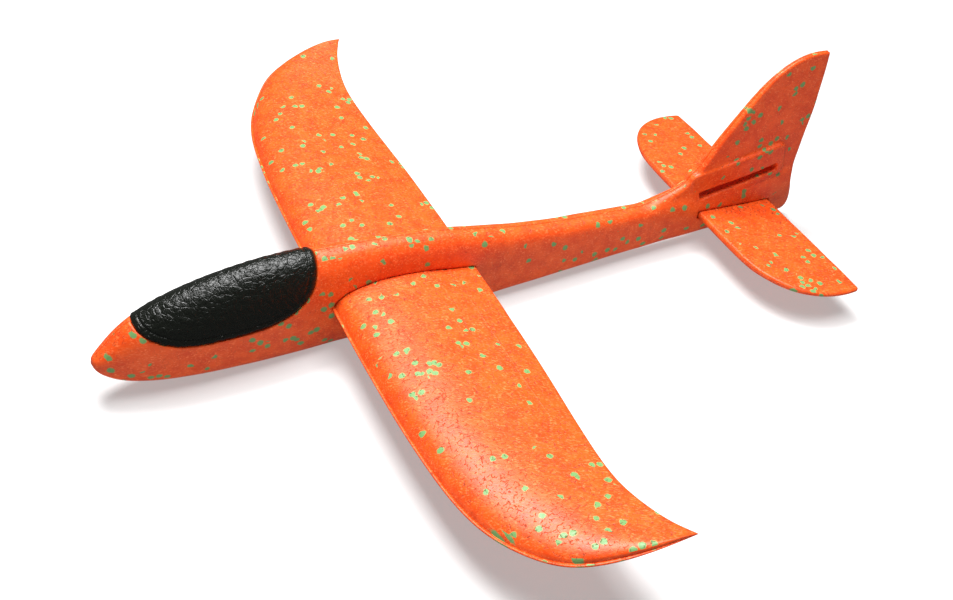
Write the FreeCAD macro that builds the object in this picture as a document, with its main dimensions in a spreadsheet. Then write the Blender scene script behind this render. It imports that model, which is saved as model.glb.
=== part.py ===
import FreeCAD, Part
import Sketcher
import os

# A moulded-foam hand-launch glider, in millimetres.
# +X points to the nose, +Y to the port wing tip and +Z up.  The origin is under the middle
# of the glider, at the height of the flat that it rests on.
#
# Five pieces: the fuselage with its fin in one moulding, the one-piece main wing pushed
# through a slot in it, the one-piece tailplane in the lower of two tail slots, the soft
# cockpit canopy that sits in a saddle on the nose, and the steel ballast bar under it.

Vector = FreeCAD.Vector
Rotation = FreeCAD.Rotation

doc = FreeCAD.newDocument("glider")


# ---------------------------------------------------------------- driving dimensions

sheet = doc.addObject("Spreadsheet::Sheet", "dimensions")
next_row = 1


def dimension(alias, value, note=""):
    """Write one named number into the sheet: name, value, what it is."""
    global next_row
    sheet.set(f"A{next_row}", alias)
    sheet.set(f"B{next_row}", str(value))
    sheet.set(f"C{next_row}", note)
    sheet.setAlias(f"B{next_row}", alias)
    next_row += 1


def value(alias):
    return float(sheet.get(alias))


# Fuselage: upright oval sections, as (place along X, underside, top, half width).
HULL_STATIONS = [
    (238.3, 23.9, 30.3, 3.1),
    (236.0, 20.6, 32.4, 5.8),
    (231.0, 16.4, 37.2, 8.6),
    (223.5, 11.9, 44.6, 10.8),
    (215.9, 9.2, 50.8, 12.5),
    (203.5, 6.6, 56.5, 14.8),
    (178.5, 3.3, 64.0, 16.9),
    (147.5, 0.3, 69.2, 17.2),
    (120.0, -0.7, 70.1, 16.1),
    (107.5, -1.0, 68.4, 15.2),
    (65.5, 0.0, 65.2, 13.2),
    (28.5, 1.8, 60.2, 11.8),
    (-5.5, 3.3, 52.3, 10.8),
    (-44.5, 4.5, 45.4, 10.0),
    (-83.5, 5.6, 41.8, 9.2),
    (-131.5, 6.5, 38.8, 8.6),
    (-176.5, 6.5, 40.0, 8.4),
    (-216.5, 5.4, 42.0, 7.2),
    (-232.0, 5.2, 41.4, 5.8),
    (-239.3, 7.0, 30.0, 4.4),
]
# Fin: flat lens sections, as (height, leading edge, trailing edge, half thickness).
FIN_STATIONS = [
    (30.0, -122.0, -235.0, 4.0),
    (38.5, -124.0, -234.6, 4.2),
    (43.2, -129.5, -234.6, 4.3),
    (47.8, -141.4, -234.8, 4.3),
    (55.5, -150.8, -235.4, 4.1),
    (67.7, -159.0, -236.2, 3.8),
    (83.5, -169.0, -237.6, 3.4),
    (97.6, -179.2, -238.5, 3.0),
    (115.8, -193.5, -238.6, 2.6),
    (126.0, -207.1, -238.6, 2.2),
    (130.6, -221.5, -238.6, 1.8),
    (131.6, -229.0, -238.4, 1.4),
]
# Wing, port half, root to tip, as (distance out, leading edge X and Z, trailing edge X and Z,
# height of the crest above the chord line).
WING_STATIONS = [
    (0.0, 104.5, 33.8, 11.5, 33.8, 11.3),
    (60.0, 104.3, 33.8, 11.7, 33.8, 11.3),
    (92.0, 103.6, 33.8, 12.4, 33.8, 11.2),
    (115.0, 102.6, 33.7, 13.4, 34.2, 11.1),
    (136.0, 101.0, 33.5, 15.2, 35.4, 10.9),
    (158.0, 98.5, 33.4, 17.3, 37.7, 10.5),
    (190.0, 90.3, 34.4, 19.3, 42.4, 9.2),
    (210.0, 79.5, 37.4, 17.2, 46.6, 7.6),
    (225.0, 66.7, 42.0, 13.5, 50.1, 6.0),
    (235.0, 46.0, 47.6, 9.5, 52.7, 4.0),
    (239.8, 20.0, 53.2, 7.0, 54.1, 1.8),
]
# Saddle that the canopy sits in, as (X, Z) from its front point to its rear point.
SADDLE_POINTS = [
    (216.5, 55.5),
    (213.6, 49.4),
    (209.0, 45.0),
    (203.5, 41.5),
    (190.0, 36.5),
    (168.0, 34.7),
    (129.0, 39.6),
    (116.0, 50.0),
    (109.5, 71.5),
]
# Leading edge and tip of the tailplane's port half, as (share of the chord behind the front
# edge, share of the half span).
TAIL_TIP_POINTS = [
    (0.0, 0.16),
    (0.06, 0.56),
    (0.22, 0.84),
    (0.42, 0.955),
    (0.66, 1.0),
    (0.99, 0.985),
]

for index, (place, low, high, half) in enumerate(HULL_STATIONS):
    dimension(f"hull_place_{index}", place, "fuselage section, place along X")
    dimension(f"hull_low_{index}", low, "height of its underside")
    dimension(f"hull_high_{index}", high, "height of its top")
    dimension(f"hull_half_{index}", half, "half of its width")

for index, (height, lead, trail, half) in enumerate(FIN_STATIONS):
    dimension(f"fin_height_{index}", height, "fin section, height")
    dimension(f"fin_lead_{index}", lead, "its leading edge")
    dimension(f"fin_trail_{index}", trail, "its trailing edge")
    dimension(f"fin_half_{index}", half, "half of its thickness")

for index, (out, lead_x, lead_z, trail_x, trail_z, crest) in enumerate(WING_STATIONS):
    dimension(f"wing_out_{index}", out, "wing section, distance from the middle")
    dimension(f"wing_lead_x_{index}", lead_x, "its leading edge, X")
    dimension(f"wing_lead_z_{index}", lead_z, "its leading edge, Z")
    dimension(f"wing_trail_x_{index}", trail_x, "its trailing edge, X")
    dimension(f"wing_trail_z_{index}", trail_z, "its trailing edge, Z")
    dimension(f"wing_crest_{index}", crest, "its crest above the chord line")

dimension("wing_edge", 2.4, "thickness of the wing's trailing edge")
dimension("fit_gap", 0.4, "gap between foam pieces that slide together")
dimension("cut_reach", 60, "half length of a cut that goes right through the fuselage")

dimension("tail_middle", -186.3, "middle of both tail slots, X")
dimension("tail_height", 23.7, "middle of the lower slot and of the tailplane, Z")
dimension("tail_tilt", 5.0, "lower slot, degrees, leading edge up")
dimension("tail_chord", 60, "tailplane chord at the root")
dimension("tail_half_span", 106.5, "tailplane half span")
dimension("tail_thickness", 5.0, "tailplane thickness")
dimension("tail_edge_radius", 1.6, "rounding of the tailplane's edges")

dimension("loop_height", 44.8, "middle of the empty upper slot, Z")
dimension("loop_tilt", 10, "upper slot, degrees, leading edge down")
dimension("boss_length", 72, "raised panel round the upper slot")
dimension("boss_height", 25, "its height")
dimension("boss_thickness", 13.4, "its thickness through the fin")
dimension("boss_rise", 5.5, "its middle above the slot's middle")
dimension("boss_radius", 4, "rounding of its corners")

dimension("ballast_place", 186, "middle of the ballast bar, X")
dimension("ballast_top", 34.4, "top of the ballast bar, Z")
dimension("ballast_length", 32, "steel ballast bar")
dimension("ballast_width", 10, "its width")
dimension("ballast_depth", 7, "its depth")
dimension("ballast_corner", 1, "its broken edges")
dimension("ballast_gap", 0.2, "gap round it in its pocket")
dimension("pocket_rise", 4, "how far the pocket is cut above the bar, up through the saddle")

dimension("rest_middle", 113.5, "middle of the belly flat, X")
dimension("rest_length", 120, "stretch of the belly that is trimmed flat")
dimension("rest_depth", 20, "depth of the trimming cut below the flat")
doc.recompute()


# ---------------------------------------------------------------- helpers

def oval(name, long_radius, short_radius, middle, turn):
    """One oval section: its radii and its middle are bound to the sheet."""
    section = doc.addObject("Part::Ellipse", name)
    section.MajorRadius = 100
    section.setExpression("MajorRadius", long_radius)
    section.setExpression("MinorRadius", short_radius)
    section.Placement = FreeCAD.Placement(Vector(), turn)
    for axis, formula in zip("xyz", middle):
        section.setExpression(f"Placement.Base.{axis}", formula)
    return section


def loft(name, sections):
    """A closed skin through the sections, smooth from one to the next."""
    skin = doc.addObject("Part::Loft", name)
    skin.Sections = sections
    skin.Solid = True
    skin.Ruled = False
    return skin


def block(name, sizes, middle, tilt="0"):
    """A box about its own middle, tilted about Y; everything is bound to the sheet."""
    solid = doc.addObject("Part::Box", name)
    for side, formula in zip(("Length", "Width", "Height"), sizes):
        solid.setExpression(side, formula)
    base = f"create(<<vector>>; {middle[0]}; {middle[1]}; {middle[2]})"
    half = "create(<<vector>>; " + "; ".join(f"-({size}) / 2" for size in sizes) + ")"
    turn = f"create(<<rotation>>; create(<<vector>>; 0; 1; 0); {tilt})"
    solid.setExpression("Placement", f"create(<<placement>>; {base}; {turn}) * "
                        f"create(<<placement>>; {half}; create(<<rotation>>; "
                        "create(<<vector>>; 0; 1; 0); 0))")
    return solid


def cut(name, base, tool):
    result = doc.addObject("Part::Cut", name)
    result.Base = base
    result.Tool = tool
    return result


def fuse(name, base, tool):
    result = doc.addObject("Part::Fuse", name)
    result.Base = base
    result.Tool = tool
    return result


def spline(points):
    curve = Part.BSplineCurve()
    curve.interpolate(points)
    return curve.toShape()


def cell(alias):
    return f"dimensions.{alias}"


# ---------------------------------------------------------------- fuselage skin

upright = Rotation(Vector(0, 1, 0), -90)
flat = Rotation()

hull_sections = []
for index in range(len(HULL_STATIONS)):
    low = cell(f"hull_low_{index}")
    high = cell(f"hull_high_{index}")
    middle = (cell(f"hull_place_{index}"), "0", f"({high} + {low}) / 2")
    hull_sections.append(oval(f"hull_section_{index}", f"({high} - {low}) / 2",
                              cell(f"hull_half_{index}"), middle, upright))
hull = loft("hull_skin", hull_sections)

fin_sections = []
for index in range(len(FIN_STATIONS)):
    lead = cell(f"fin_lead_{index}")
    trail = cell(f"fin_trail_{index}")
    middle = (f"({lead} + {trail}) / 2", "0", cell(f"fin_height_{index}"))
    fin_sections.append(oval(f"fin_section_{index}", f"({lead} - {trail}) / 2",
                             cell(f"fin_half_{index}"), middle, flat))
fin = loft("fin_skin", fin_sections)

tilt = cell("loop_tilt")
boss_middle = (f"{cell('tail_middle')} + {cell('boss_rise')} * sin({tilt} * 1 deg)",
               "0",
               f"{cell('loop_height')} + {cell('boss_rise')} * cos({tilt} * 1 deg)")
boss_sizes = (cell("boss_length"), cell("boss_thickness"), cell("boss_height"))
boss_block = block("boss_block", boss_sizes, boss_middle, tilt)
doc.recompute()
boss = doc.addObject("Part::Fillet", "boss")
boss.Base = boss_block
boss_radius = value("boss_radius")
through_edges = [number for number, edge in enumerate(boss_block.Shape.Edges, 1)
                 if abs(edge.tangentAt(edge.FirstParameter).y) > 0.99]
boss.Edges = [(number, boss_radius, boss_radius) for number in through_edges]


# ---------------------------------------------------------------- main wing

UPPER_SHAPE = [(0.035, 0.42), (0.13, 0.80), (0.34, 1.0), (0.68, 0.66)]
LOWER_SHAPE = [(0.035, -0.17), (0.30, 0.08), (0.70, 0.10)]


def wing_section(out, lead, trail, crest, edge, grow=0.0):
    """The cambered section at one distance out: upper curve, blunt edge, lower curve.

    grow lets the section out by that much, which gives the slot that the wing slides in.
    """
    def at(along, rise, lift):
        x = lead[0] + (trail[0] - lead[0]) * along + grow * (1 - 2 * along)
        z = lead[1] + (trail[1] - lead[1]) * along
        return Vector(x, out, z + rise + lift)

    nose = at(0, 0, 0)
    upper = [nose] + [at(along, rise * crest, grow) for along, rise in UPPER_SHAPE]
    lower = [nose] + [at(along, rise * crest, -grow) for along, rise in LOWER_SHAPE]
    upper.append(at(1, edge / 2, grow))
    lower.append(at(1, -edge / 2, -grow))
    blunt = Part.LineSegment(upper[-1], lower[-1]).toShape()
    return Part.Wire([spline(upper), blunt, spline(lower[::-1])])


def wing_section_at(index, side, grow=0.0):
    station = [value(f"wing_{name}_{index}")
               for name in ("out", "lead_x", "lead_z", "trail_x", "trail_z", "crest")]
    edge = value("wing_edge") * (0.5 + 0.5 * station[5] / value("wing_crest_0"))
    return wing_section(side * station[0], station[1:3], station[3:5], station[5], edge, grow)


port = [wing_section_at(index, 1) for index in range(len(WING_STATIONS))]
starboard = [wing_section_at(index, -1) for index in range(1, len(WING_STATIONS))]
wing = doc.addObject("Part::Feature", "main_wing")
wing.Label = "main_wing"
wing.Shape = Part.makeLoft(starboard[::-1] + port, True, False)

root_wire = doc.addObject("Part::Feature", "wing_root_wire")
root_wire.Shape = wing_section_at(0, 1, value("fit_gap"))
wing_slot = doc.addObject("Part::Extrusion", "wing_slot")
wing_slot.Base = root_wire
wing_slot.Dir = Vector(0, 1, 0)
wing_slot.Solid = True
wing_slot.setExpression("LengthFwd", cell("cut_reach"))
wing_slot.setExpression("LengthRev", cell("cut_reach"))


# ---------------------------------------------------------------- tailplane and its slots

chord = value("tail_chord")
half_span = value("tail_half_span")
front = chord / 2
tailplane = doc.addObject("PartDesign::Body", "tailplane")
tailplane.Label = "tailplane"
plan = tailplane.newObject("Sketcher::SketchObject", "tailplane_plan")
ground = [plane for plane in tailplane.Origin.OriginFeatures if plane.Role == "XY_Plane"][0]
plan.AttachmentSupport = [(ground, "")]
plan.MapMode = "FlatFace"
tip_lead = [(front - behind * chord, part * half_span) for behind, part in TAIL_TIP_POINTS]


def tip_curve(side):
    curve = Part.BSplineCurve()
    curve.interpolate([Vector(x, side * out, 0) for x, out in tip_lead])
    return curve


port_tip = plan.addGeometry(tip_curve(1), False)
starboard_tip = plan.addGeometry(tip_curve(-1), False)
port_end = Vector(tip_lead[-1][0], tip_lead[-1][1], 0)
starboard_end = Vector(port_end.x, -port_end.y, 0)
port_root = Vector(front, tip_lead[0][1], 0)
starboard_root = Vector(front, -port_root.y, 0)
leading = plan.addGeometry(Part.LineSegment(starboard_root, port_root), False)
trailing = plan.addGeometry(Part.LineSegment(starboard_end, port_end), False)
for curve, end, line, line_end in ((port_tip, 1, leading, 2), (starboard_tip, 1, leading, 1),
                                   (port_tip, 2, trailing, 2), (starboard_tip, 2, trailing, 1)):
    plan.addConstraint(Sketcher.Constraint("Coincident", curve, end, line, line_end))
plate = tailplane.newObject("PartDesign::Pad", "tailplane_plate")
plate.Profile = plan
plate.Midplane = True
plate.setExpression("Length", cell("tail_thickness"))
doc.recompute()
rim = tailplane.newObject("PartDesign::Fillet", "tailplane_rim")
face_edges = [f"Edge{number}" for number, edge in enumerate(plate.Shape.Edges, 1)
              if abs(abs(edge.CenterOfMass.z) - value("tail_thickness") / 2) < 0.01]
rim.Base = (plate, face_edges)
rim.setExpression("Radius", cell("tail_edge_radius"))
tail_base = f"create(<<vector>>; {cell('tail_middle')}; 0; {cell('tail_height')})"
tail_turn = f"create(<<rotation>>; create(<<vector>>; 0; 1; 0); -{cell('tail_tilt')})"
tailplane.setExpression("Placement", f"create(<<placement>>; {tail_base}; {tail_turn})")

slot_length = f"{cell('tail_chord')} + 2 * {cell('fit_gap')}"
slot_height = f"{cell('tail_thickness')} + 2 * {cell('fit_gap')}"
slot_sizes = (slot_length, cell("cut_reach"), slot_height)
lower_slot = block("lower_slot", slot_sizes,
                   (cell("tail_middle"), "0", cell("tail_height")), f"-{cell('tail_tilt')}")
upper_slot = block("upper_slot", slot_sizes,
                   (cell("tail_middle"), "0", cell("loop_height")), cell("loop_tilt"))


# ---------------------------------------------------------------- canopy and its saddle

def saddle_face(gap):
    """Side view of the room that the canopy fills, let out downwards by gap."""
    points = [Vector(x, 0, z) for x, z in SADDLE_POINTS]
    curve = Part.BSplineCurve()
    curve.interpolate(points)
    tangents = [curve.tangent(curve.parameter(point))[0] for point in points]
    moved = [point + Vector(-along.z, 0, along.x) * gap for point, along in zip(points, tangents)]
    above = points[-1].z + value("cut_reach")
    first = moved[0]
    last = moved[-1]
    lift = [Vector(last.x, 0, above), Vector(first.x, 0, above)]
    lines = [Part.LineSegment(a, b).toShape()
             for a, b in ((last, lift[0]), (lift[0], lift[1]), (lift[1], first))]
    return Part.Wire([spline(moved)] + lines)


def saddle_cutter(name, gap):
    outline = doc.addObject("Part::Feature", f"{name}_outline")
    outline.Shape = saddle_face(gap)
    cutter = doc.addObject("Part::Extrusion", name)
    cutter.Base = outline
    cutter.Dir = Vector(0, 1, 0)
    cutter.Solid = True
    cutter.setExpression("LengthFwd", cell("cut_reach"))
    cutter.setExpression("LengthRev", cell("cut_reach"))
    return cutter


canopy_room = saddle_cutter("canopy_room", 0)
saddle = saddle_cutter("saddle", value("fit_gap"))

canopy = doc.addObject("Part::Common", "canopy")
canopy.Base = hull
canopy.Tool = canopy_room


# ---------------------------------------------------------------- ballast bar and its pocket

ballast_middle = (cell("ballast_place"), "0",
                  f"{cell('ballast_top')} - {cell('ballast_depth')} / 2")
ballast_sizes = (cell("ballast_length"), cell("ballast_width"), cell("ballast_depth"))
ballast_bar = block("ballast_bar", ballast_sizes, ballast_middle)
doc.recompute()
ballast = doc.addObject("Part::Chamfer", "nose_weight")
ballast.Base = ballast_bar
corner = value("ballast_corner")
ballast.Edges = [(number, corner, corner) for number in range(1, len(ballast_bar.Shape.Edges) + 1)]
gap = cell("ballast_gap")
rise = cell("pocket_rise")
pocket = block("ballast_pocket",
               (f"{ballast_sizes[0]} + 2 * {gap}", f"{ballast_sizes[1]} + 2 * {gap}",
                f"{ballast_sizes[2]} + {rise}"),
               (ballast_middle[0], "0", f"{ballast_middle[2]} + {rise} / 2"))


# ---------------------------------------------------------------- fuselage

rest_sizes = (cell("rest_length"), cell("cut_reach"), cell("rest_depth"))
rest_trim = block("rest_trim", rest_sizes, (cell("rest_middle"), "0", f"-{cell('rest_depth')} / 2"))
open_hull = hull
for tool in (wing_slot, lower_slot, upper_slot, saddle, pocket, rest_trim):
    open_hull = cut(f"hull_less_{tool.Name}", open_hull, tool)
open_fin = cut("fin_less_upper_slot", fin, upper_slot)
open_boss = cut("boss_less_upper_slot", boss, upper_slot)
fuselage = fuse("fuselage", fuse("hull_with_fin", open_hull, open_fin), open_boss)
fuselage.Label = "fuselage"

doc.recompute()


# ---------------------------------------------------------------- check and write

NODES = {"fuselage": fuselage, "main_wing": wing, "tailplane": tailplane,
         "canopy": canopy, "nose_weight": ballast}
for item in doc.Objects:
    if "Invalid" in item.State or "Error" in item.State:
        raise RuntimeError(f"{item.Label} failed: {item.State}")
os.makedirs("parts", exist_ok=True)
for node, item in NODES.items():
    shape = item.Shape
    if shape.isNull() or not shape.isValid() or not shape.Solids:
        raise RuntimeError(f"{node} has no valid solid")
    shape.exportStep(f"parts/{node}.step")
    box = shape.optimalBoundingBox()
    print(f"{node:12s} solids {len(shape.Solids)} volume {shape.Volume / 1000:8.2f} cm3 "
          f"X {box.XMin:.1f}..{box.XMax:.1f} Y {box.YMin:.1f}..{box.YMax:.1f} "
          f"Z {box.ZMin:.2f}..{box.ZMax:.1f}")
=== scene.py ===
import math

import bpy
import numpy as np
from mathutils import Matrix, Vector


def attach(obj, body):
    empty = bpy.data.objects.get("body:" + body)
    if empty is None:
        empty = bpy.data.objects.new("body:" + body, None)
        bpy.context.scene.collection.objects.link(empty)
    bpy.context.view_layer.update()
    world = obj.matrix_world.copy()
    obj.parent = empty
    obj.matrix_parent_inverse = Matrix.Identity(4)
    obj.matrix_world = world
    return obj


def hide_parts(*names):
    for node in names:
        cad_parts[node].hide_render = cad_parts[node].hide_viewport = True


# Looks for the moulded-foam hand-launch glider.  Shapes are worked out in millimetres in
# the CAD frame (+X nose, +Y port tip, +Z up) and written to the meshes in metres.

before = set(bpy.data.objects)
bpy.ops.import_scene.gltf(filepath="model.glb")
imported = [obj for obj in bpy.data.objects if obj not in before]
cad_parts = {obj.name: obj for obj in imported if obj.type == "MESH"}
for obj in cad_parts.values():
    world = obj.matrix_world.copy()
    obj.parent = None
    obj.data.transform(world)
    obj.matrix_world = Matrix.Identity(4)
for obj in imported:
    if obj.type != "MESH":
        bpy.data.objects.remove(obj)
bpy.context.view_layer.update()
scene = bpy.context.scene

MM = 0.001


# ---------------------------------------------------------------- camera

CAMERA_PLACE = (256.8, 458.7, 475.4)
CAMERA_RIGHT = Vector((-0.90077, 0.42901, 0.06754))
CAMERA_UP = Vector((-0.24627, -0.63268, 0.73421))

camera = bpy.data.objects.new("camera", bpy.data.cameras.new("camera"))
camera.data.sensor_width = 36
camera.data.lens = 41.74
camera.data.clip_start = 0.01
back = CAMERA_RIGHT.cross(CAMERA_UP).normalized()
up = back.cross(CAMERA_RIGHT).normalized()
camera.matrix_world = Matrix.Translation(Vector(CAMERA_PLACE) * MM) @ Matrix(
    (up.cross(back), up, back)).transposed().to_4x4()
scene.collection.objects.link(camera)
scene.camera = camera


# ---------------------------------------------------------------- curves and distances

def through(knots, values, places):
    """A natural cubic through values at knots, read at places."""
    knots = np.asarray(knots, float)
    values = np.asarray(values, float)
    steps = np.diff(knots)
    slopes = (np.diff(values, axis=0).T / steps).T
    count = len(knots)
    system = np.eye(count)
    wanted = np.zeros_like(values)
    for i in range(1, count - 1):
        system[i, i - 1:i + 2] = steps[i - 1], 2 * (steps[i - 1] + steps[i]), steps[i]
        wanted[i] = 6 * (slopes[i] - slopes[i - 1])
    bends = np.linalg.solve(system, wanted)
    places = np.asarray(places, float)
    left = np.clip(np.searchsorted(knots, places) - 1, 0, count - 2)
    step = steps[left]
    a = (knots[left + 1] - places) / step
    b = 1 - a
    if values.ndim == 2:
        a, b, step = a[..., None], b[..., None], step[..., None]
    return (a * values[left] + b * values[left + 1]
            + ((a ** 3 - a) * bends[left] + (b ** 3 - b) * bends[left + 1]) * step ** 2 / 6)


def curve(points, spacing):
    """Points about spacing apart on a smooth curve through the given ones."""
    points = np.asarray(points, float)
    reach = np.concatenate([[0], np.cumsum(np.linalg.norm(np.diff(points, axis=0), axis=1))])
    return through(reach, points, np.linspace(0, reach[-1], int(reach[-1] / spacing) + 2))


def outline_distance(outline, x, z):
    """Distance in a plane to a closed outline, negative inside it."""
    nearest = np.full(np.broadcast(x, z).shape, 1e12)
    inside = np.zeros(nearest.shape, bool)
    for (ax, az), (bx, bz) in zip(outline, np.roll(outline, -1, axis=0)):
        ex, ez = bx - ax, bz - az
        px, pz = x - ax, z - az
        share = np.clip((px * ex + pz * ez) / (ex * ex + ez * ez), 0, 1)
        nearest = np.minimum(nearest, (px - share * ex) ** 2 + (pz - share * ez) ** 2)
        inside ^= ((az > z) != (bz > z)) & ((px * ez < pz * ex) == (bz > az))
    return np.where(inside, -1, 1) * np.sqrt(nearest)


def smooth_min(a, b, blend):
    """The lower of two distances, with a fillet about blend wide where they meet."""
    share = np.clip(0.5 + 0.5 * (b - a) / blend, 0, 1)
    return b + (a - b) * share - blend * share * (1 - share)


def smooth_max(a, b, blend):
    return -smooth_min(-a, -b, blend)


def rounded(a, b, radius):
    """Where two distances are both negative, with the edge between them rounded."""
    a, b = a + radius, b + radius
    return (np.minimum(np.maximum(a, b), 0)
            + np.hypot(np.maximum(a, 0), np.maximum(b, 0)) - radius)


def turned(x, z, middle, degrees):
    """Places in a frame at middle whose first axis points forward and down by degrees."""
    cosine, sine = math.cos(math.radians(degrees)), math.sin(math.radians(degrees))
    dx, dz = x - middle[0], z - middle[1]
    return dx * cosine - dz * sine, dx * sine + dz * cosine


def oval(y, z, low, high, half, power_low, power_high):
    """Distance to an upright oval; powers over 2 make its halves fuller than an ellipse."""
    tall = np.maximum((high - low) / 2, 0.05)
    wide = np.maximum(half, 0.05)
    u = np.abs(y) / wide
    v = (z - (high + low) / 2) / tall
    power = np.where(v > 0, power_high, power_low)
    v = np.abs(v)
    size = np.maximum((u ** power + v ** power) ** (1 / power), 0.05)
    slope = np.hypot(u ** (power - 1) / wide, v ** (power - 1) / tall) / size ** (power - 1)
    return (size - 1) / np.maximum(slope, 0.5 / (tall + wide))


def unevenness(seed, wavelength):
    """A gentle random swell, about -1 to 1, that is the same on every run."""
    random = np.random.default_rng(seed)
    directions = random.normal(size=(14, 3))
    directions /= np.linalg.norm(directions, axis=1)[:, None]
    directions *= 2 * math.pi / (wavelength * random.uniform(0.75, 1.4, (14, 1)))
    phases = random.uniform(0, 2 * math.pi, 14)

    def swell(x, y, z):
        waves = [np.sin(x * dx + y * dy + z * dz + phase)
                 for (dx, dy, dz), phase in zip(directions, phases)]
        return sum(waves) / 4
    return swell


# ---------------------------------------------------------------- meshes

def slope_of(field, points, reach=0.05):
    """Field and its slope at points."""
    x, y, z = points.T
    value = field(x, y, z)
    slope = np.column_stack([(field(x + reach, y, z) - field(x - reach, y, z)),
                             (field(x, y + reach, z) - field(x, y - reach, z)),
                             (field(x, y, z + reach) - field(x, y, z - reach))]) / (2 * reach)
    return value, slope


def settle(field, points, limit, rounds=3):
    """Move points onto the field's zero surface."""
    for _ in range(rounds):
        value, slope = slope_of(field, points)
        steepness = np.maximum((slope ** 2).sum(axis=1), 0.05)
        step = slope * (value / steepness)[:, None]
        length = np.maximum(np.linalg.norm(step, axis=1), 1e-9)
        points = points - step * np.minimum(1, limit / length)[:, None]
    return points


def skin(field, low, high, step, across=None):
    """Points and quads over the zero surface of field, which is negative inside.

    across gives the grid's own places along Y, where it has to be finer in part.
    """
    axes = [np.arange(a, b + step, step) for a, b in zip(low, high)]
    if across is not None:
        axes[1] = across
    grid = np.meshgrid(*axes, indexing="ij", sparse=True)
    value = np.broadcast_to(field(*grid), [len(axis) for axis in axes])
    solid = value < 0
    corners = np.array([(i, j, k) for i in (0, 1) for j in (0, 1) for k in (0, 1)])
    shape = np.array(value.shape) - 1
    filled = sum(solid[i:i + shape[0], j:j + shape[1], k:k + shape[2]].astype(np.int8)
                 for i, j, k in corners)
    cells = np.argwhere((filled > 0) & (filled < 8))
    number = np.full(shape, -1)
    number[tuple(cells.T)] = np.arange(len(cells))
    total = np.zeros((len(cells), 3))
    crossings = np.zeros((len(cells), 1))
    for start in corners:
        for axis in range(3):
            if start[axis]:
                continue
            along = np.eye(3, dtype=int)[axis]
            a = value[tuple((cells + start).T)]
            b = value[tuple((cells + start + along).T)]
            crossed = (a < 0) != (b < 0)
            share = np.where(crossed, a / np.where(crossed, a - b, 1), 0)
            total += crossed[:, None] * (start + share[:, None] * along)
            crossings += crossed[:, None]
    places = cells + total / crossings
    points = np.column_stack([np.interp(places[:, i], np.arange(len(axes[i])), axes[i])
                              for i in range(3)])
    quads = []
    for axis in range(3):
        first, second = [(1, 2), (2, 0), (0, 1)][axis]
        ahead = np.moveaxis(solid, axis, 0)
        change = np.moveaxis(ahead[1:] != ahead[:-1], 0, axis)
        inner = [slice(None)] * 3
        inner[first] = inner[second] = slice(1, -1)
        edges = np.argwhere(change[tuple(inner)])
        edges[:, first] += 1
        edges[:, second] += 1
        leaving = solid[tuple(edges.T)]
        ring = []
        for i, j in ((-1, -1), (0, -1), (0, 0), (-1, 0)):
            near = edges.copy()
            near[:, first] += i
            near[:, second] += j
            ring.append(number[tuple(near.T)])
        ring = np.column_stack(ring)
        quads.append(np.where(leaving[:, None], ring, ring[:, ::-1]))
    return settle(field, points, step / 2), np.concatenate(quads)


def piece(name, points, quads, material, body, slot):
    """A smooth-shaded mesh from points in millimetres, riding on a CAD body."""
    mesh = bpy.data.meshes.new(name)
    quads = np.asarray(quads, np.int32)
    mesh.vertices.add(len(points))
    mesh.vertices.foreach_set("co", (np.asarray(points) * MM).astype(np.float32).ravel())
    mesh.loops.add(quads.size)
    mesh.loops.foreach_set("vertex_index", quads.ravel())
    mesh.polygons.add(len(quads))
    mesh.polygons.foreach_set("loop_start", np.arange(0, quads.size, 4, dtype=np.int32))
    mesh.polygons.foreach_set("use_smooth", np.ones(len(quads), bool))
    mesh.update(calc_edges=True)
    mesh.validate()
    mesh.materials.append(material)
    thing = bpy.data.objects.new(name, mesh)
    scene.collection.objects.link(thing)
    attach(thing, body)
    return thing


def tube(rings):
    """Points and quads of a skin over rings of points, with a cap at each end."""
    rings = np.asarray(rings)
    count, around = rings.shape[:2]
    index = np.arange(count * around).reshape(count, around)
    here, ahead = index[:-1], index[1:]
    quads = np.stack([here, ahead, np.roll(ahead, -1, 1), np.roll(here, -1, 1)], -1).reshape(-1, 4)
    for row, flip in ((index[0], False), (index[-1], True)):
        cap = np.array([(row[i], row[i + 1], row[around - 2 - i], row[around - 1 - i])
                        for i in range(around // 2 - 1)])
        quads = np.concatenate([quads, cap[:, ::-1] if flip else cap])
    return rings.reshape(-1, 3), quads


# ---------------------------------------------------------------- materials

def add(tree, kind, inputs=None, **settings):
    """A shader node with its settings, and its inputs given as values or as sockets."""
    made = tree.nodes.new("ShaderNode" + kind)
    for name, value in settings.items():
        setattr(made, name, value)
    for socket, value in (inputs or {}).items():
        if isinstance(value, bpy.types.NodeSocket):
            tree.links.new(value, made.inputs[socket])
        else:
            made.inputs[socket].default_value = value
    return made


def calculate(tree, operation, *values):
    made = add(tree, "Math", dict(enumerate(values)), operation=operation)
    return made.outputs[0]


def ease(tree, value, start, end, low=0.0, high=1.0):
    """Value carried smoothly from start..end to low..high."""
    return add(tree, "MapRange", {"Value": value, "From Min": start, "From Max": end,
                                  "To Min": low, "To Max": high},
               interpolation_type="SMOOTHSTEP").outputs[0]


def mixed(tree, share, a, b):
    return add(tree, "Mix", {0: share, 6: a, 7: b}, data_type="RGBA").outputs[2]


def noise(tree, place, size, detail=2.0):
    """Soft noise from 0 to 1 whose features are about size millimetres across."""
    return add(tree, "TexNoise", {"Vector": place, "Scale": 1 / (size * MM),
                                  "Detail": detail}).outputs[0]


def cells(tree, place, size, feature="F1", dimensions="3D"):
    """Random cells about size millimetres across."""
    return add(tree, "TexVoronoi", {"Vector": place, "Scale": 1 / (size * MM)},
               feature=feature, voronoi_dimensions=dimensions)


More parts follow.
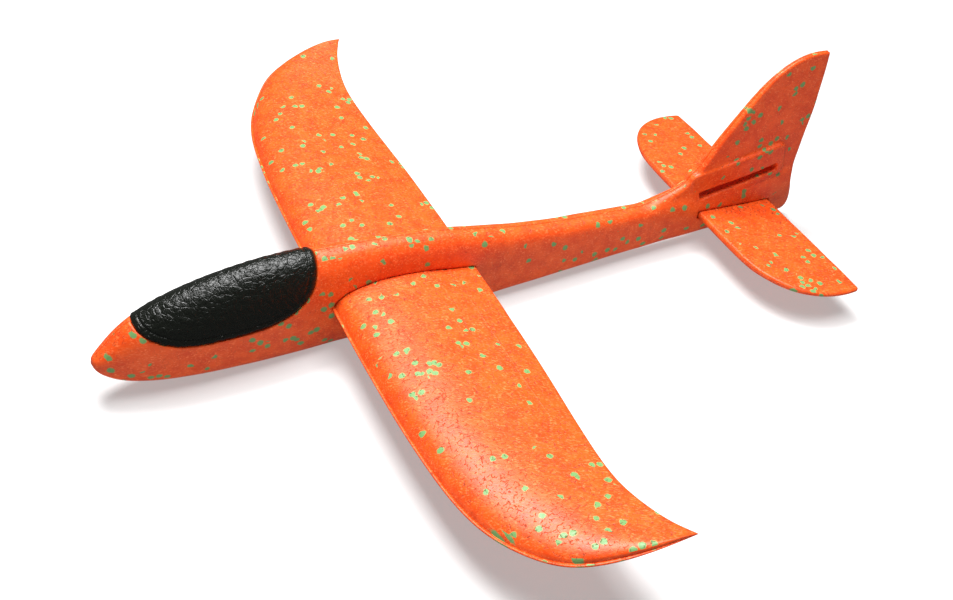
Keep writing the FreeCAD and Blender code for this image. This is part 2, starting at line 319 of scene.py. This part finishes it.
def new_material(name):
    material = bpy.data.materials.new(name)
    material.use_nodes = True
    tree = material.node_tree
    place = add(tree, "TexCoord").outputs["Object"]
    return material, tree, tree.nodes["Principled BSDF"], place


ORANGE = (0.74, 0.080, 0.008, 1)
ORANGE_DEEP = (0.62, 0.050, 0.005, 1)
ORANGE_PALE = (0.84, 0.170, 0.048, 1)
BEAD_GREEN = (0.085, 0.29, 0.10, 1)
# Painted shade colour for the creases and pits between the beads.
CREASE_SHADE = (0.09, 0.018, 0.006, 1)


def green_beads(tree, place, crowd, size, shift):
    """Where the green beads of one lot are, from 0 to 1 with soft edges."""
    moved = add(tree, "VectorMath", {0: place, 1: shift}, operation="ADD").outputs[0]
    beads = cells(tree, moved, size, dimensions="2D")
    lots = add(tree, "SeparateColor", {0: beads.outputs["Color"]})
    chosen = calculate(tree, "GREATER_THAN", lots.outputs[0], crowd)
    return calculate(tree, "MULTIPLY", chosen,
                     ease(tree, beads.outputs["Distance"], 0.50, 0.32))


def orange_foam():
    """Moulded bead foam: orange beads with some green ones, and creases and pits between them that
    are dented and darkened with painted shade, strongest on upward-facing surfaces where the sheen
    falls.
    """
    material, tree, shader, place = new_material("orange_foam")
    drift = add(tree, "TexNoise", {"Vector": place, "Scale": 420.0, "Detail": 1.0})
    offset = add(tree, "VectorMath", {0: drift.outputs["Color"], 1: (0.5, 0.5, 0.5)},
                 operation="SUBTRACT").outputs[0]
    bent = add(tree, "VectorMath", {0: offset, 1: (0.0013, 0.0013, 0.0013), 2: place},
               operation="MULTIPLY_ADD").outputs[0]

    facing = add(tree, "SeparateXYZ", {0: add(tree, "TexCoord").outputs["Normal"]}).outputs[2]
    upward = calculate(tree, "ABSOLUTE", facing)
    level = calculate(tree, "GREATER_THAN", upward, 0.7)
    along, out, rise = add(tree, "SeparateXYZ", {0: bent}).outputs
    over = calculate(tree, "MULTIPLY_ADD", level, calculate(tree, "SUBTRACT", out, rise), rise)
    spread = add(tree, "CombineXYZ", {0: along, 1: over}).outputs[0]
    crowd = ease(tree, noise(tree, place, 24, 1.0), 0.35, 0.7, 0.972, 0.915)
    green = calculate(tree, "MAXIMUM",
                      green_beads(tree, spread, crowd, 4.8, (0.0, 0.0, 0.0)),
                      green_beads(tree, spread, crowd, 4.4, (0.031, 0.017, 0.0)))

    beads = cells(tree, bent, 3.0)
    lots = add(tree, "SeparateColor", {0: beads.outputs["Color"]})
    seams = cells(tree, bent, 3.0, "DISTANCE_TO_EDGE").outputs["Distance"]
    open_here = ease(tree, noise(tree, place, 2.0, 2.0), 0.49, 0.60)
    crack = calculate(tree, "MULTIPLY", ease(tree, seams, 0.075, 0.02), open_here)
    specks = cells(tree, place, 1.3)
    speck_lots = add(tree, "SeparateColor", {0: specks.outputs["Color"]})
    speck = calculate(tree, "MULTIPLY", ease(tree, specks.outputs["Distance"], 0.24, 0.12),
                      calculate(tree, "GREATER_THAN", speck_lots.outputs[1], 0.88))
    # The creases and pits dent the bump and roughen the skin; their darkening is painted shade,
    # weighted towards upward-facing surfaces where the sheen falls.
    creases_and_shade = calculate(tree, "MULTIPLY", calculate(tree, "MAXIMUM", crack, speck),
                     ease(tree, upward, 0.45, 0.9, 0.25, 1.0))

    blotch = noise(tree, place, 9, 3.0)
    drawn = add(tree, "Mapping", {"Vector": bent, "Rotation": (0.0, 0.0, -0.5),
                                  "Scale": (2.6, 1.0, 1.0)}, vector_type="TEXTURE").outputs[0]
    grain = noise(tree, drawn, 0.75, 2.0)
    colour = mixed(tree, ease(tree, blotch, 0.3, 0.7), ORANGE, ORANGE_DEEP)
    pale = calculate(tree, "MULTIPLY", ease(tree, grain, 0.48, 0.72),
                     ease(tree, lots.outputs[1], 0.1, 1.0, 0.35, 0.95))
    colour = mixed(tree, pale, colour, ORANGE_PALE)
    colour = mixed(tree, calculate(tree, "MULTIPLY", green, 0.92), colour, BEAD_GREEN)
    # Painted shade: the creases and pits darkened.
    colour = mixed(tree, calculate(tree, "MULTIPLY", creases_and_shade, 0.75), colour, CREASE_SHADE)
    tree.links.new(colour, shader.inputs["Base Color"])
    shader.inputs["Specular IOR Level"].default_value = 0.26

    gloss = ease(tree, grain, 0.3, 0.7, 0.33, 0.47)
    tree.links.new(calculate(tree, "MULTIPLY_ADD", creases_and_shade, 0.3, gloss), shader.inputs["Roughness"])
    swell = ease(tree, beads.outputs["Distance"], 0.7, 0.0, 0.0, 0.2)
    height = calculate(tree, "MULTIPLY_ADD", creases_and_shade, -1.0, swell)
    height = calculate(tree, "MULTIPLY_ADD", grain, 0.5, height)
    bump = add(tree, "Bump", {"Height": height, "Strength": 0.6, "Distance": 0.0002})
    tree.links.new(bump.outputs[0], shader.inputs["Normal"])
    return material


def black_foam():
    """Black foam with a glossy, creased skin like leather."""
    material, tree, shader, place = new_material("black_foam")
    lumps = cells(tree, place, 2.6, "SMOOTH_F1").outputs["Distance"]
    folds = cells(tree, place, 3.4, "DISTANCE_TO_EDGE").outputs["Distance"]
    fold = ease(tree, folds, 0.14, 0.0)
    grain = noise(tree, place, 0.8, 3.0)
    colour = mixed(tree, grain, (0.002, 0.003, 0.002, 1), (0.006, 0.007, 0.005, 1))
    tree.links.new(colour, shader.inputs["Base Color"])
    shader.inputs["Specular IOR Level"].default_value = 0.3
    tree.links.new(ease(tree, grain, 0.3, 0.7, 0.20, 0.34), shader.inputs["Roughness"])
    height = calculate(tree, "MULTIPLY_ADD", lumps, -0.8, grain)
    height = calculate(tree, "MULTIPLY_ADD", fold, -0.6, height)
    bump = add(tree, "Bump", {"Height": height, "Strength": 0.6, "Distance": 0.0004})
    tree.links.new(bump.outputs[0], shader.inputs["Normal"])
    return material


def ballast_steel():
    """Dull zinc-plated steel bar."""
    material, tree, shader, place = new_material("ballast_steel")
    streaks = add(tree, "Mapping", {"Vector": place, "Scale": (0.08, 1.0, 1.0)}).outputs[0]
    brushed = noise(tree, streaks, 0.4, 3.0)
    stain = noise(tree, place, 7, 3.0)
    tree.links.new(mixed(tree, stain, (0.42, 0.42, 0.43, 1), (0.62, 0.62, 0.60, 1)),
                   shader.inputs["Base Color"])
    shader.inputs["Metallic"].default_value = 1.0
    tree.links.new(ease(tree, brushed, 0.2, 0.8, 0.28, 0.5), shader.inputs["Roughness"])
    bump = add(tree, "Bump", {"Height": brushed, "Strength": 0.25, "Distance": 0.00005})
    tree.links.new(bump.outputs[0], shader.inputs["Normal"])
    return material


ORANGE_FOAM = orange_foam()
BLACK_FOAM = black_foam()
BALLAST_STEEL = ballast_steel()


# ---------------------------------------------------------------- main wing

# Distance out, leading edge X and Z, trailing edge X and Z, crest above the chord line.
WING_STATIONS = [
    (0.0, 104.5, 33.8, 11.5, 33.8, 11.3),
    (60.0, 104.3, 33.8, 11.7, 33.8, 11.3),
    (92.0, 103.6, 33.8, 12.4, 33.8, 11.2),
    (115.0, 102.6, 33.7, 13.4, 34.2, 11.1),
    (136.0, 101.0, 33.5, 15.2, 35.4, 10.9),
    (158.0, 98.5, 33.4, 17.3, 37.7, 10.5),
    (190.0, 90.3, 34.4, 19.3, 42.4, 9.2),
    (210.0, 79.5, 37.4, 17.2, 46.6, 7.6),
    (225.0, 66.7, 42.0, 13.5, 50.1, 6.0),
    (235.0, 46.0, 47.6, 9.5, 52.7, 4.0),
    (239.6, 20.0, 53.0, 7.0, 54.1, 1.8),
    (240.0, 7.4, 54.1, 6.4, 54.1, 0.5),
]
WING_CHORD = 93
WING_CREST = 11.3
WING_EDGE = 2.4
WING_RINGS = 250
WING_SWELL = 0.16
UPPER_SHAPE = [(0, 0), (0.035, 0.42), (0.13, 0.80), (0.34, 1.0), (0.68, 0.66), (1, 0.106)]
LOWER_SHAPE = [(0, 0), (0.035, -0.17), (0.30, 0.08), (0.70, 0.10), (1, -0.106)]
CHORD_TO_CREST = WING_CHORD / WING_CREST
# The faint raised line near the trailing edge: its place, its share of the grid along the
# chord, its height and width, where it starts and ends, and how fast its ends fade.
SCORE_X = 28.4
SCORE_SHARE = 0.82
SCORE_HEIGHT = 0.18
SCORE_WIDTH = 0.4
SCORE_START = 38
SCORE_END = 143
SCORE_FADE = 4
# The ridge round the edge, as (outward, up) from the edge line, and how far it stands out.
RIDGE_PROFILE = [(-1.6, 0.62), (-0.45, 0.60), (-0.12, 0.42), (0.0, 0.0), (-0.10, -0.5),
                 (-0.45, -0.95), (-1.6, -1.2)]
RIDGE_OUT = 1.3
# Grid places along the chord crowd towards the leading edge by this power, and rings
# crowd towards the tip by this share of a quarter sine.
LEAD_CROWDING = 1.7
TIP_CROWDING = 0.92
LEAD_START = 0.0004
TRAIL_CORNER = 0.9965
CORNER_DROP = 0.35


def section_rise(shape, along):
    """Height over the chord line, in crests, at shares of the chord."""
    points = np.array(shape)
    dense = curve(points * (CHORD_TO_CREST, 1), 0.004) / (CHORD_TO_CREST, 1)
    order = np.argsort(dense[:, 0])
    return np.interp(np.sqrt(along), np.sqrt(np.maximum(dense[order, 0], 0)), dense[order, 1])


def wing_sections(stations, along_upper, along_lower):
    """For each station row, its upper and lower points from the leading edge back."""
    both = []
    for along, shape in ((along_upper, UPPER_SHAPE), (along_lower, LOWER_SHAPE)):
        out, lead_x, lead_z, trail_x, trail_z, crest = (stations[:, i:i + 1] for i in range(6))
        edge = WING_EDGE / 2 * (0.5 + 0.5 * crest / WING_CREST)
        level = shape[-1][1]
        rise = section_rise(shape, along) * crest
        rise = rise + (np.sign(level) * edge - level * crest) * along ** 2
        both.append(np.stack([lead_x + (trail_x - lead_x) * along, out + 0 * along,
                              lead_z + (trail_z - lead_z) * along + rise], -1))
    return both


def wing_root_outline(count=40):
    along = np.linspace(0, 1, count)[None, :] ** 2
    upper, lower = wing_sections(np.array(WING_STATIONS[:1]), along, along)
    return np.concatenate([upper[0], lower[0, :0:-1]])[:, [0, 2]]


def wing_mesh():
    stations = np.array(WING_STATIONS)
    reach = np.concatenate([[0], np.cumsum(np.linalg.norm(np.diff(stations[:, :3], axis=0), axis=1))])
    places = (reach[-1] * np.sin(np.linspace(0, 1, WING_RINGS) * math.pi / 2 * TIP_CROWDING)
              / math.sin(math.pi / 2 * TIP_CROWDING))
    table = through(reach, stations, places)
    ahead = np.gradient(table[:, :2], places, axis=0)
    outward = np.column_stack([ahead[:, 0], -ahead[:, 1]])
    outward /= np.linalg.norm(outward, axis=1)[:, None]
    scale = np.clip(table[:, 5:6] / 4, 0.15, 1)
    edge_points = table[:, [1, 0, 2]].copy()
    body = table.copy()
    body[:, 1] -= RIDGE_OUT * outward[:, 0] * scale[:, 0]
    body[:, 0] -= RIDGE_OUT * outward[:, 1] * scale[:, 0]
    body[:, 1] = np.maximum(body[:, 1], body[:, 3] + 0.3)

    score = np.clip((table[:, 1:2] - SCORE_X) / (table[:, 1:2] - table[:, 3:4]), 0.55, 0.93)
    chord = np.linspace(0, 1, 64) ** LEAD_CROWDING
    near_score = SCORE_SHARE + np.linspace(-2.0, 2.0, 15) / WING_CHORD
    chord = np.unique(np.concatenate([chord[:-1], near_score, [TRAIL_CORNER, 1.0]]))
    share = np.where(chord <= SCORE_SHARE, chord / SCORE_SHARE * score,
                     1 - (1 - chord) / (1 - SCORE_SHARE) * (1 - score))
    along_upper = LEAD_START + (1 - LEAD_START) * share
    lower_chord = np.concatenate([np.linspace(0, 1, 52)[:-1] ** LEAD_CROWDING, [TRAIL_CORNER, 1.0]])
    along_lower = LEAD_START + (1 - LEAD_START) * lower_chord[None, :] + 0 * score
    upper, lower = wing_sections(body, along_upper, along_lower)

    swell = unevenness(11, 34)
    for side in (upper, lower):
        lift = WING_SWELL * swell(side[..., 0], side[..., 1], 0)
        side[..., 2] += lift * np.clip(body[:, 5:6] / 6, 0, 1)
    out = upper[..., 1]
    window = (np.clip((out - SCORE_START) / SCORE_FADE, 0, 1)
              * np.clip((SCORE_END - out) / SCORE_FADE, 0, 1))
    upper[..., 2] += (SCORE_HEIGHT * window
                      * np.exp(-((upper[..., 0] - SCORE_X) / SCORE_WIDTH) ** 2))
    corner = CORNER_DROP * scale
    upper[:, -1, 2] -= corner[:, 0]
    lower[:, -1, 2] += corner[:, 0]

    flat_out = np.column_stack([outward, np.zeros(len(outward))])
    ridge = np.stack([edge_points + flat_out * a * scale + np.array([0, 0, b]) * scale
                      for a, b in RIDGE_PROFILE], 1)
    port = np.concatenate([upper[:, ::-1], ridge, lower], axis=1)
    starboard = port[:0:-1] * (1, -1, 1)
    return tube(np.concatenate([starboard, port])[::-1])


wing = piece("main_wing_foam", *wing_mesh(), ORANGE_FOAM, "main_wing", "orange_foam")
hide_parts("main_wing")


# ---------------------------------------------------------------- fuselage

NOSE_X = 239.0
TAIL_X = -239.3
# Place along X, underside, top, half width, fullness of the lower and of the upper half.
# Under the canopy the top is out of sight.
HULL_STATIONS = [
    (239.0, 27.2, 27.2, 0.0, 2.4, 2.0),
    (238.3, 24.0, 30.0, 3.2, 2.5, 2.0),
    (236.0, 20.6, 32.4, 5.8, 2.6, 2.0),
    (231.0, 16.4, 37.2, 8.6, 2.7, 2.0),
    (223.5, 11.9, 44.6, 10.8, 2.8, 2.0),
    (215.9, 9.2, 50.2, 12.5, 2.8, 2.0),
    (203.5, 6.6, 55.8, 14.8, 2.8, 2.0),
    (178.5, 3.3, 62.4, 16.9, 2.7, 2.0),
    (147.5, 0.3, 66.8, 17.2, 2.6, 2.0),
    (120.0, -0.7, 68.8, 16.1, 2.7, 2.1),
    (107.5, -1.0, 68.4, 15.2, 2.8, 2.2),
    (65.5, 0.0, 65.2, 13.2, 3.1, 2.3),
    (28.5, 1.8, 60.2, 11.8, 3.4, 2.4),
    (-5.5, 3.3, 52.3, 10.8, 3.5, 2.7),
    (-44.5, 4.5, 45.4, 10.0, 3.2, 3.0),
    (-83.5, 5.6, 41.8, 9.2, 2.9, 3.1),
    (-131.5, 6.5, 38.8, 8.6, 2.6, 2.8),
    (-176.5, 6.5, 40.0, 8.4, 2.4, 2.4),
    (-216.5, 5.4, 42.0, 7.2, 2.3, 2.3),
    (-232.0, 5.2, 41.4, 5.8, 2.3, 2.3),
    (-239.3, 5.2, 41.0, 4.4, 2.3, 2.3),
]
FIN_LEAD = [(-112, 30), (-118, 36), (-129.5, 43.2), (-141.4, 47.8), (-150.8, 55.5), (-159, 67.7),
            (-169, 83.5), (-179.2, 97.6), (-193.5, 115.8), (-207.1, 126), (-225.2, 131.4),
            (-238.3, 130.8)]
TAIL_END = [(-238.6, 130.8), (-238.5, 93), (-236, 69.6), (-234.2, 40), (-234.4, 34), (-236.4, 28),
            (-238.6, 21), (-239.3, 14), (-238.6, 8), (-236.0, 3)]
FIN_HALF = [(36, 4.3), (60, 4.0), (83, 3.4), (100, 2.9), (116, 2.4), (126, 2.1), (132, 1.8)]
SADDLE_POINTS = [(216.5, 55.5), (213.6, 49.4), (209.0, 45.0), (203.5, 41.5), (190.0, 36.5),
                 (168.0, 34.7), (129.0, 39.6), (116.0, 50.0), (109.5, 71.5)]
FIT_GAP = 0.4
TAIL_MIDDLE = -186.3
LOWER_SLOT = (TAIL_MIDDLE, 23.7)
LOWER_TILT = -5.0
UPPER_SLOT = (TAIL_MIDDLE, 44.8)
UPPER_TILT = 10
EDGE = 0.7
# The parting groove along the middle, and the low lip on each side of it.
SEAM_DEPTH = 0.6
SEAM_WIDTH = 0.38
SEAM_LIP = 0.14
LIP_OUT = 0.8
LIP_WIDTH = 0.35
# The raised panel round the upper slot, in the slot's own frame; it thins towards the front.
PANEL_HALF_LENGTH = 36
PANEL_RISE = 5.5
PANEL_HALF_HEIGHT = 12.5
PANEL_CORNER = 4
PANEL_HALF_WIDTH = 6.7
PANEL_THINNING = 2.2
THINNING_START = -5
THINNING_LENGTH = 41
# Middle and half sizes of the pocket that the ballast bar lies in.
POCKET_X = 186
POCKET_Z = 39.2
POCKET_HALF = (16.2, 5.2, 12)
POCKET_CORNER = 0.4
# Widths of the fillets where the fin, the panel, the tail's end and the belly meet the hull.
FIN_BLEND = 7
PANEL_BLEND = 1.6
TAIL_END_BLEND = 3
BELLY_BLEND = 0.5
FUSELAGE_SWELL = 0.12

hull_knots = [math.sqrt(NOSE_X - row[0]) for row in HULL_STATIONS]
hull_values = [row[1:] for row in HULL_STATIONS]


def hull_size(x):
    """Underside, top, half width and fullness of the fuselage at places along X."""
    depth = np.sqrt(np.clip(NOSE_X - x, 0.002, NOSE_X - TAIL_X))
    sizes = through(hull_knots, hull_values, depth.ravel())
    return [sizes[:, i].reshape(depth.shape) for i in range(5)]


fin_outline = np.concatenate([curve(FIN_LEAD, 4), [(-238.6, 40), (-232, 20), (-120, 20)]])
tail_outline = np.concatenate([curve(TAIL_END, 3), [(-236, -30), (300, -30), (300, 160),
                                                    (-238.6, 160)]])
saddle_outline = np.concatenate([curve(SADDLE_POINTS, 4), [(109.5, 140), (216.5, 140)]])
root_outline = wing_root_outline()
fuselage_swell = unevenness(5, 30)


def slot_distance(x, z, middle, tilt, length=60.0, height=5.0, radius=0.8):
    u, v = turned(x, z, middle, tilt)
    return rounded(np.abs(u) - length / 2 - FIT_GAP, np.abs(v) - height / 2 - FIT_GAP, radius)


def fuselage_field(x, y, z):
    body = oval(y, z, *hull_size(x))
    fin_half = np.interp(z, *zip(*FIN_HALF))
    fin = rounded(outline_distance(fin_outline, x, z), np.abs(y) - fin_half, 0.7 * fin_half)
    body = smooth_min(body, fin, FIN_BLEND)
    u, v = turned(x, z, UPPER_SLOT, UPPER_TILT)
    panel = rounded(np.abs(u) - PANEL_HALF_LENGTH, np.abs(v - PANEL_RISE) - PANEL_HALF_HEIGHT,
                    PANEL_CORNER)
    thinned = PANEL_THINNING * np.clip((u - THINNING_START) / THINNING_LENGTH, 0, 1)
    panel = rounded(panel, np.abs(y) - PANEL_HALF_WIDTH + thinned, 0.8)
    body = smooth_min(body, panel, PANEL_BLEND)
    body = smooth_max(body, outline_distance(tail_outline, x, z), TAIL_END_BLEND)
    body = body + FUSELAGE_SWELL * fuselage_swell(x, y, z)
    body = body + SEAM_DEPTH * np.exp(-(y / SEAM_WIDTH) ** 2)
    body = body - SEAM_LIP * np.exp(-((np.abs(y) - LIP_OUT) / LIP_WIDTH) ** 2)
    body = smooth_max(body, FIT_GAP - outline_distance(root_outline, x, z), EDGE)
    for middle, tilt in ((LOWER_SLOT, LOWER_TILT), (UPPER_SLOT, UPPER_TILT)):
        body = smooth_max(body, -slot_distance(x, z, middle, tilt), EDGE)
    body = smooth_max(body, FIT_GAP - outline_distance(saddle_outline, x, z), EDGE)
    pocket = rounded(np.abs(x - POCKET_X) - POCKET_HALF[0], np.abs(y) - POCKET_HALF[1],
                     POCKET_CORNER)
    pocket = rounded(pocket, np.abs(z - POCKET_Z) - POCKET_HALF[2], POCKET_CORNER)
    body = smooth_max(body, -pocket, EDGE)
    return smooth_max(body, -z, BELLY_BLEND)


# The grid along Y is finer at the middle, where the parting groove is.
fine = np.array([0.0, 0.22, 0.44, 0.7, 1.05, 1.6])
coarse = np.arange(2.5, 20, 1.05)
across = np.concatenate([-coarse[::-1], -fine[:0:-1], fine, coarse])
fuselage = piece("fuselage_foam",
                 *skin(fuselage_field, (-242, -20, -2), (242, 20, 134), 1.05, across),
                 ORANGE_FOAM, "fuselage", "orange_foam")
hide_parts("fuselage")


# ---------------------------------------------------------------- canopy

CANOPY_TOP = [(224, 45.6), (215.9, 50.8), (203.5, 56.5), (190, 61.0), (178.5, 64.0),
              (162, 67.3), (147.5, 69.2), (132, 70.1), (120, 70.1), (112, 69.6), (104, 68.4)]
CANOPY_PROUD = 0.8
RIM_GROOVE_DEPTH = 0.55
RIM_GROOVE_UP = 4.6
RIM_GROOVE_WIDTH = 0.6
LEATHER_HEIGHT = 0.12
FOLD_HEIGHT = 0.05
canopy_top = np.array(CANOPY_TOP[::-1])
leather = unevenness(3, 5.0)
folds = unevenness(8, 2.6)


def canopy_field(x, y, z):
    low, _, half, power_low, power_high = hull_size(x)
    high = through(canopy_top[:, 0], canopy_top[:, 1], np.clip(x, 104, 224).ravel()).reshape(x.shape)
    shell = oval(y, z, low, high, half + CANOPY_PROUD, power_low, power_high)
    seat = outline_distance(saddle_outline, x, z)
    body = smooth_max(shell, seat, np.interp(x, (150, 200), (3.6, 1.8)))
    body = body + RIM_GROOVE_DEPTH * np.exp(-((seat + RIM_GROOVE_UP) / RIM_GROOVE_WIDTH) ** 2)
    return body + LEATHER_HEIGHT * leather(x, y, z) + FOLD_HEIGHT * folds(x, y, z)


canopy = piece("canopy_foam", *skin(canopy_field, (104, -20, 32), (220, 20, 77), 0.55),
               BLACK_FOAM, "canopy", "black_foam")
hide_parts("canopy")


# ---------------------------------------------------------------- tailplane

TAIL_HALF = 2.5
TAIL_THINNING = 0.9
TAIL_ROUNDING = 1.7
TAIL_SWELL = 0.1
# Leading edge of the port half and its tip, as (X, distance out), then the trailing edge.
TAIL_LEAD = [(-156.3, 0), (-156.3, 20), (-156.5, 50), (-158.3, 67), (-161.8, 77.5), (-165.2, 84.6),
             (-169.1, 90.2), (-173.2, 94.7), (-177.5, 98.2), (-182, 100.9), (-191.1, 104.6),
             (-199.9, 106.2), (-208.5, 106.5), (-214.5, 106.0)]
TAIL_TRAIL = [(-216.3, 104.5), (-216.3, 60), (-216.3, 0)]
port_side = np.concatenate([curve(TAIL_LEAD, 2.5), TAIL_TRAIL])
tail_plan = np.concatenate([port_side, (port_side * (1, -1))[-2:0:-1]])
tail_swell = unevenness(21, 26)


def tail_place(x, z):
    u, v = turned(x, z, LOWER_SLOT, LOWER_TILT)
    return u + TAIL_MIDDLE, v


def tailplane_field(x, y, z):
    u, v = tail_place(x, z)
    plan = outline_distance(tail_plan, u, y)
    v = v + TAIL_SWELL * tail_swell(x, y, 0 * z)
    thickness = TAIL_HALF - TAIL_THINNING * np.clip((np.abs(y) - 40) / 67, 0, 1) ** 2
    return rounded(plan + 0.35, np.abs(v) - thickness, TAIL_ROUNDING)


tailplane = piece("tailplane_foam",
                  *skin(tailplane_field, (-219, -109, 15), (-153, 109, 33), 0.72),
                  ORANGE_FOAM, "tailplane", "orange_foam")
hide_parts("tailplane")


# ---------------------------------------------------------------- ballast bar

nose_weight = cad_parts["nose_weight"]
nose_weight.data.materials.clear()
nose_weight.data.materials.append(BALLAST_STEEL)


# ---------------------------------------------------------------- floor and light

def softbox(name, direction, distance, size, power, aim=(0, 0, 0.04)):
    """A rectangular soft light in the given direction from the glider."""
    light = bpy.data.lights.new(name, "AREA")
    light.shape = "RECTANGLE"
    light.size, light.size_y = size
    light.energy = power
    lamp = bpy.data.objects.new(name, light)
    direction = Vector(direction).normalized()
    lamp.location = Vector(aim) + direction * distance
    lamp.rotation_euler = direction.to_track_quat("Z", "Y").to_euler()
    scene.collection.objects.link(lamp)


softbox("key", (-0.09, -0.02, 0.84), 0.84, (0.6, 0.6), 13.5, aim=(0.07, 0.05, 0.04))
softbox("sheen", (0.03, -0.42, 0.90), 1.3, (0.5, 0.4), 21, aim=(0.06, 0.15, 0.04))

world = bpy.data.worlds.new("studio")
world.use_nodes = True
world.node_tree.nodes["Background"].inputs["Color"].default_value = (1, 1, 1, 1)
world.node_tree.nodes["Background"].inputs["Strength"].default_value = 0.14
scene.world = world
scene.view_settings.view_transform = "Standard"

FLOOR_REACH = 8
FLOOR_DROP = 0.0002
corners = [(x * FLOOR_REACH, y * FLOOR_REACH, 0) for x, y in ((-1, -1), (1, -1), (1, 1), (-1, 1))]
floor_mesh = bpy.data.meshes.new("floor")
floor_mesh.from_pydata(corners, [], [(0, 1, 2, 3)])
floor = bpy.data.objects.new("floor", floor_mesh)
floor.location.z = -FLOOR_DROP
floor_paper, _, floor_shader, _ = new_material("floor_paper")
floor_shader.inputs["Base Color"].default_value = (0.42, 0.42, 0.42, 1)
floor_shader.inputs["Emission Color"].default_value = (1, 1, 1, 1)
floor_shader.inputs["Emission Strength"].default_value = 0.36
floor_shader.inputs["Roughness"].default_value = 0.9
floor_shader.inputs["Specular IOR Level"].default_value = 0.1
floor_mesh.materials.append(floor_paper)
floor.visible_glossy = False
scene.collection.objects.link(floor)
